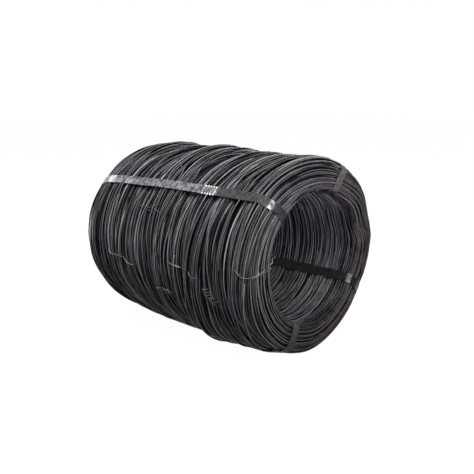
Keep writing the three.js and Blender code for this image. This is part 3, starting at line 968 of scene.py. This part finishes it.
seal_wall = 0.0010
seal_bevel = 0.0002
seal_rows = 59
side_from = 0.0105
side_reach = 0.004
crimp_sink = 0.0010
crimp_shade = 1.3
mouth_length = 0.002
side_highlight = 0.65
top_grey = 0.3
mouth_highlight = 0.8

# Half a cross-section of the channel from its middle, as [across, above the lapped straps].
channel = ((0, 0.0009), (0.006, 0.0009), (0.011, 0.0009), (0.0145, 0.0008), (0.0165, 0.0003),
           (0.0172, -0.0009), (0.0166, -0.0021), (0.0150, -0.0025), (0.0115, -0.0026))

seal_steel, tree, shader, coords, colour = strap_material(
    "galvanised seal", ((0.12, 0.12, 0.125), (0.30, 0.30, 0.31), (0.60, 0.61, 0.63)), 0.15, 0.3,
    0.38)
# Painted shade and highlight on the seal: near black in the crimps, brighter than the steel along
# its sides and mouths.
shade = add_ramp(tree, add_attribute(tree, "seal_light_and_shade"), (
    (0.0, 0.03), (0.3, (0.45, 0.45, 0.46)), (0.65, 2.4), (1.0, 2.4)))
set_inputs(tree, shader, Base_Color=add_tint(tree, colour, shade))

# The section is pressed in at its sides by each crimp. Its colour is painted light: painted
# highlights along its sides and at its two mouths, painted shade in the crimps, and a plain grey
# on top.
half = np.array(channel)
section = np.concatenate([half[::-1] * (-1, 1), half[1:]])
seal_run = np.linspace(-seal_length / 2, seal_length / 2, seal_rows)
pressed = pressed_in(seal_run)[:, None]
across, above = section.T
at_side = np.clip((np.abs(across) - side_from) / side_reach, 0, 1)
across = across - np.sign(across) * at_side * pressed * crimp_depth
above = above - at_side * (above > 0) * pressed * crimp_sink
side = side_highlight - side_highlight * np.clip(pressed * crimp_shade, 0, 1)
seal_light_and_shade = at_side * side + (1 - at_side) * top_grey
seal_light_and_shade = np.where((np.abs(seal_run) > seal_length / 2 - mouth_length)[:, None], mouth_highlight, seal_light_and_shade)
lowest = lowest_play + seal_wall / 2 + np.clip(channel[0][1] - above, 0, None)
for name, (x, radius, degrees, from_seal) in straps.items():
    seal = lay_band("seal_" + name + "_channel", np.interp(seal_run, from_seal, x),
                    np.interp(seal_run, from_seal, radius), np.interp(seal_run, from_seal, degrees),
                    across, above, lowest)
    add_values(seal, "seal_light_and_shade", seal_light_and_shade.T.ravel())
    finish_band(seal, seal_wall, seal_bevel)
    seal.data.materials.append(seal_steel)
    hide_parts("seal_" + name)
    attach(seal, "root")

# ---------------------------------------------------------------------------------------------
# Tie wires. Short pieces of soft annealed wire, laid over a few turns and tucked under the next to
# hold the wire's ends and its crossings down. Some are doubled and twisted.

tie_radius = 0.0016
twist_radius = 0.0012
tie_sides = 10
tie_step = 0.0025
turn_width = 0.008

# One strand of the front twist comes up across the other again and again: where each short length
# of it lies, as [turns forward of the coil's middle, angle round the coil, how bright it is
# painted, as its highlight or shade].
crossings = ((34.2, 193.9, 0.6), (35.4, 195.5, 0.4), (35.8, 197.1, 0.65), (36.4, 198.7, 0.4),
             (38.2, 198.2, 0.55), (39.4, 200.4, 0.4))
crossing_strands = tuple(
    (twist_radius, painted_brightness, ((turn - 2.0, angle + 0.7, -5), (turn - 1.4, angle + 0.4, 0),
                            (turn + 0.2, angle, 1), (turn + 1.6, angle - 0.3, 0),
                            (turn + 2.2, angle - 0.3, -5)))
    for turn, angle, painted_brightness in crossings)

# The strands of each tie: their radius, how bright they are painted, which stands for each
# strand's highlight or shade, and their way as [turns forward of the coil's middle, angle round
# the coil, millimetres above the turns they lie on].
ties = {
    "tie_rear_upper": (
        (tie_radius, 0.75, ((-32, 183.5, -4), (-31, 184.4, 0), (-29, 186.4, 0), (-26.4, 186.5, 0),
            (-22.6, 186.5, 0), (-21.6, 186.9, -4))),
        (twist_radius, 0.5, ((-23.6, 187.4, -2), (-22.4, 186.3, 1), (-21.4, 184.6, 1)))),
    "tie_rear_lower": (
        (tie_radius, 0.75, ((-21.5, 186.6, -4), (-20.6, 188.0, 0), (-18.1, 189.9, 0),
            (-15.4, 190.8, 0), (-12.8, 189.8, -3))),
        (twist_radius, 0.55, ((-20.4, 188.6, -3), (-18, 190.3, 1), (-16, 191.2, 1),
            (-14.4, 190.6, -3)))),
    "tie_middle": (
        (tie_radius, 0.65, ((11.8, 182.7, -4), (12.6, 182.9, 0), (14.5, 183.1, 1), (18.4, 183.7, 0),
            (19.6, 184.4, -4))),
        (tie_radius, 0.6, ((13.6, 183.4, -3), (15, 183.6, 0), (18.2, 184.2, 0), (20, 184.9, -1))),
        (tie_radius, 0.2, ((19.2, 184.4, -1), (21.5, 184.2, 0), (24, 183.9, 0), (25, 184.8, -4)))),
    "tie_middle_short": (
        (tie_radius, 0.5, ((24.9, 186.0, -4), (25.6, 187.2, 0), (26.8, 188.6, 0), (28.8, 189.0, 0),
            (30.3, 187.8, -3))),
        (twist_radius, 0.25, ((26.2, 187.6, -3), (27.4, 189.8, 0), (28.4, 191.0, 0)))),
    "tie_front_end": (
        (tie_radius, 0.40, ((53.6, 178.4, -4), (54.4, 179.4, 0), (55.5, 181.1, 0), (57.0, 182.4, 0),
            (59.4, 182.9, 0), (61.6, 182.7, 0), (63.5, 181.2, 0), (65.6, 179.6, 0),
            (68.0, 176.3, 0), (69.6, 174.6, -1))),
        (twist_radius, 0.45, ((60.6, 183.9, -2), (62.6, 182.6, 0), (64.4, 181.8, 0),
            (66.4, 180.6, 0), (68.4, 179.5, 0), (70.2, 178.9, -1))),
        (twist_radius, 0.8, ((62.9, 183.2, -1), (63.3, 181.4, 3), (63.7, 179.8, -1))),
        (twist_radius, 0.3, ((53.8, 182.8, 1), (54.6, 182.0, 1), (55.6, 180.6, 1),
            (56.2, 179.6, -3))),
        (twist_radius, 1.0, ((68.8, 175.4, 1), (70.2, 173.6, 4), (71.4, 172.0, 13),
            (71.2, 170.0, 17), (70.4, 169.2, 12))),
        (twist_radius, 1.0, ((69.8, 178.9, 1), (70.8, 178.4, 5), (71.4, 178.0, 9)))),
    "twist_lower": (
        (twist_radius, 0.8, ((0.6, 201.7, -3), (1.4, 201.9, 1), (4.4, 201.0, 1), (6.8, 201.8, 1),
            (8.3, 203.5, 1), (8.8, 204.4, -3))),
        (twist_radius, 0.3, ((0.4, 202.6, -2), (3.2, 202.3, 1), (6.0, 203.2, 1), (7.6, 204.8, 1),
            (9.4, 204.6, 1), (10.6, 203.3, -2))),
        (twist_radius, 0.6, ((7.2, 204.6, -2), (8.6, 203.2, 2), (10.4, 202.9, -2)))),
    "twist_front": crossing_strands + (
        (twist_radius, 0.3, ((33.4, 193.0, -3), (34.4, 195.0, 2), (35.0, 197.6, 2),
            (36.8, 199.4, 2), (39.2, 201.4, 2), (40.4, 203.4, -3))),),
    "twist_upper": (
        (twist_radius, 0.45, ((-14.6, 153.9, -3), (-13.6, 153.6, 1), (-9.8, 153.4, 1),
            (-6, 154.0, 1), (-3.4, 153.2, 1), (0, 154.6, 1), (3.4, 156.2, 1), (4.4, 157.0, -3))),
        (twist_radius, 0.25, ((-7.2, 151.2, -3), (-5.6, 151.8, 1), (-4.8, 153.6, 2),
            (-1.8, 152.6, 1), (1.4, 151.3, -2))),
        (twist_radius, 0.05, ((-13.0, 155.2, -2), (-8.6, 154.8, 1), (-4.4, 155.8, 1),
            (-1.0, 156.6, -2))),
        (twist_radius, 0.5, ((-3.8, 154.8, -1), (-2.6, 153.2, 2), (-1.6, 151.8, -1)))),
    "twist_top": (
        (twist_radius, 0.5, ((-3.4, 122.6, -3), (-2.6, 122.9, 1), (-1.4, 123.4, 1), (0.8, 124.8, 1),
            (2.4, 126.1, 1), (3.0, 126.6, -3))),
        (twist_radius, 0.6, ((-2.2, 124.4, -1), (-1.2, 123.2, 2), (-0.2, 122.2, -1)))),
}

tie_steel, tree, shader, coords, colour = strap_material(
    "tie wire", ((0.06, 0.06, 0.062), (0.15, 0.15, 0.156), (0.30, 0.30, 0.31)), 0.25, 0.45, 0.45)
# Painted highlight and shade on each strand: the tone takes the steel from near black up to
# brighter than its own colour.
shade = add_ramp(tree, add_attribute(tree, "tone"), ((0.0, 0.04), (0.5, 0.6), (1.0, 1.5)))
set_inputs(tree, shader, Base_Color=add_tint(tree, colour, shade))
for name, strands in ties.items():
    wires = [laid_wire(name + "_strand", radius, painted_brightness, np.multiply(way, (turn_width, 1, 1)),
                       tie_sides, tie_step) for radius, painted_brightness, way in strands]
    tie = joined(wires, name + "_wire")
    tie.data.materials.append(tie_steel)
    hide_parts(name)
    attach(tie, "root")

# ---------------------------------------------------------------------------------------------
# Floor and light. A white floor and surround that the camera and the steel see, and that shed
# little light of their own. The light on the coil comes from soft lamps.

floor_size = 30
floor_white = 0.97
floor_mirrored = 0.7
surround_light = 0.28


# 1 for what the camera sees or looks through at, and as much as is given for what steel mirrors.
def seen_as_background(tree, mirrored=1.0):
    rays = add_node(tree, "ShaderNodeLightPath").outputs
    in_steel = add_math(tree, "MULTIPLY", rays["Is Glossy Ray"], mirrored)
    seen = add_math(tree, "MAXIMUM", rays["Is Camera Ray"], in_steel)
    return add_math(tree, "MAXIMUM", seen, rays["Is Transmission Ray"])


bpy.ops.mesh.primitive_plane_add(size=floor_size)
floor = bpy.context.object
floor.name = "floor"
paper = bpy.data.materials.new("floor")
paper.use_nodes = True
tree = paper.node_tree
tree.nodes.clear()
brightness = add_math(tree, "MULTIPLY", seen_as_background(tree, floor_mirrored), floor_white)
glow = add_node(tree, "ShaderNodeEmission", Strength=brightness)
diffuse = add_node(tree, "ShaderNodeBsdfDiffuse", Color=(0.08, 0.08, 0.08, 1))
both = add_node(tree, "ShaderNodeAddShader", i0=diffuse.outputs[0], i1=glow.outputs[0])
add_node(tree, "ShaderNodeOutputMaterial", Surface=both.outputs[0])
floor.data.materials.append(paper)

world = bpy.data.worlds.new("studio")
bpy.context.scene.world = world
world.use_nodes = True
tree = world.node_tree
brightness = add_range(tree, seen_as_background(tree), 0.0, 1.0, surround_light, 1.0)
set_inputs(tree, tree.nodes["Background"], Color=(1, 1, 1, 1), Strength=brightness)


# A soft rectangular lamp, aimed at a place.
def studio_lamp(name, location, size, size_y, energy, target):
    bpy.ops.object.light_add(type="AREA", location=location)
    lamp = bpy.context.object
    lamp.name = name
    lamp.data.shape = "RECTANGLE"
    lamp.data.size = size
    lamp.data.size_y = size_y
    lamp.data.energy = energy
    lamp.rotation_euler = (Vector(target) - lamp.location).to_track_quat("-Z", "Y").to_euler()


coil_middle = (0, 0, axis_height)
studio_lamp("key light", (0.7, -1.5, 3.3), 1.8, 1.4, 112, coil_middle)
studio_lamp("front light", (1.3, -3.3, 1.4), 2.0, 1.2, 24, coil_middle)
studio_lamp("end light", (2.6, -0.7, 2.6), 1.4, 1.0, 80, (0.4, 0, axis_height))
studio_lamp("eye light", (2.4, -0.5, 0.5), 0.5, 0.5, 15, (0, 0, axis_height + 0.1))
studio_lamp("back light", (-2.2, -0.4, 0.2), 0.6, 0.3, 20, coil_middle)
studio_lamp("fill light", (-1.6, 3.0, 1.8), 1.8, 1.2, 36, coil_middle)

bpy.context.scene.view_settings.view_transform = "Standard"
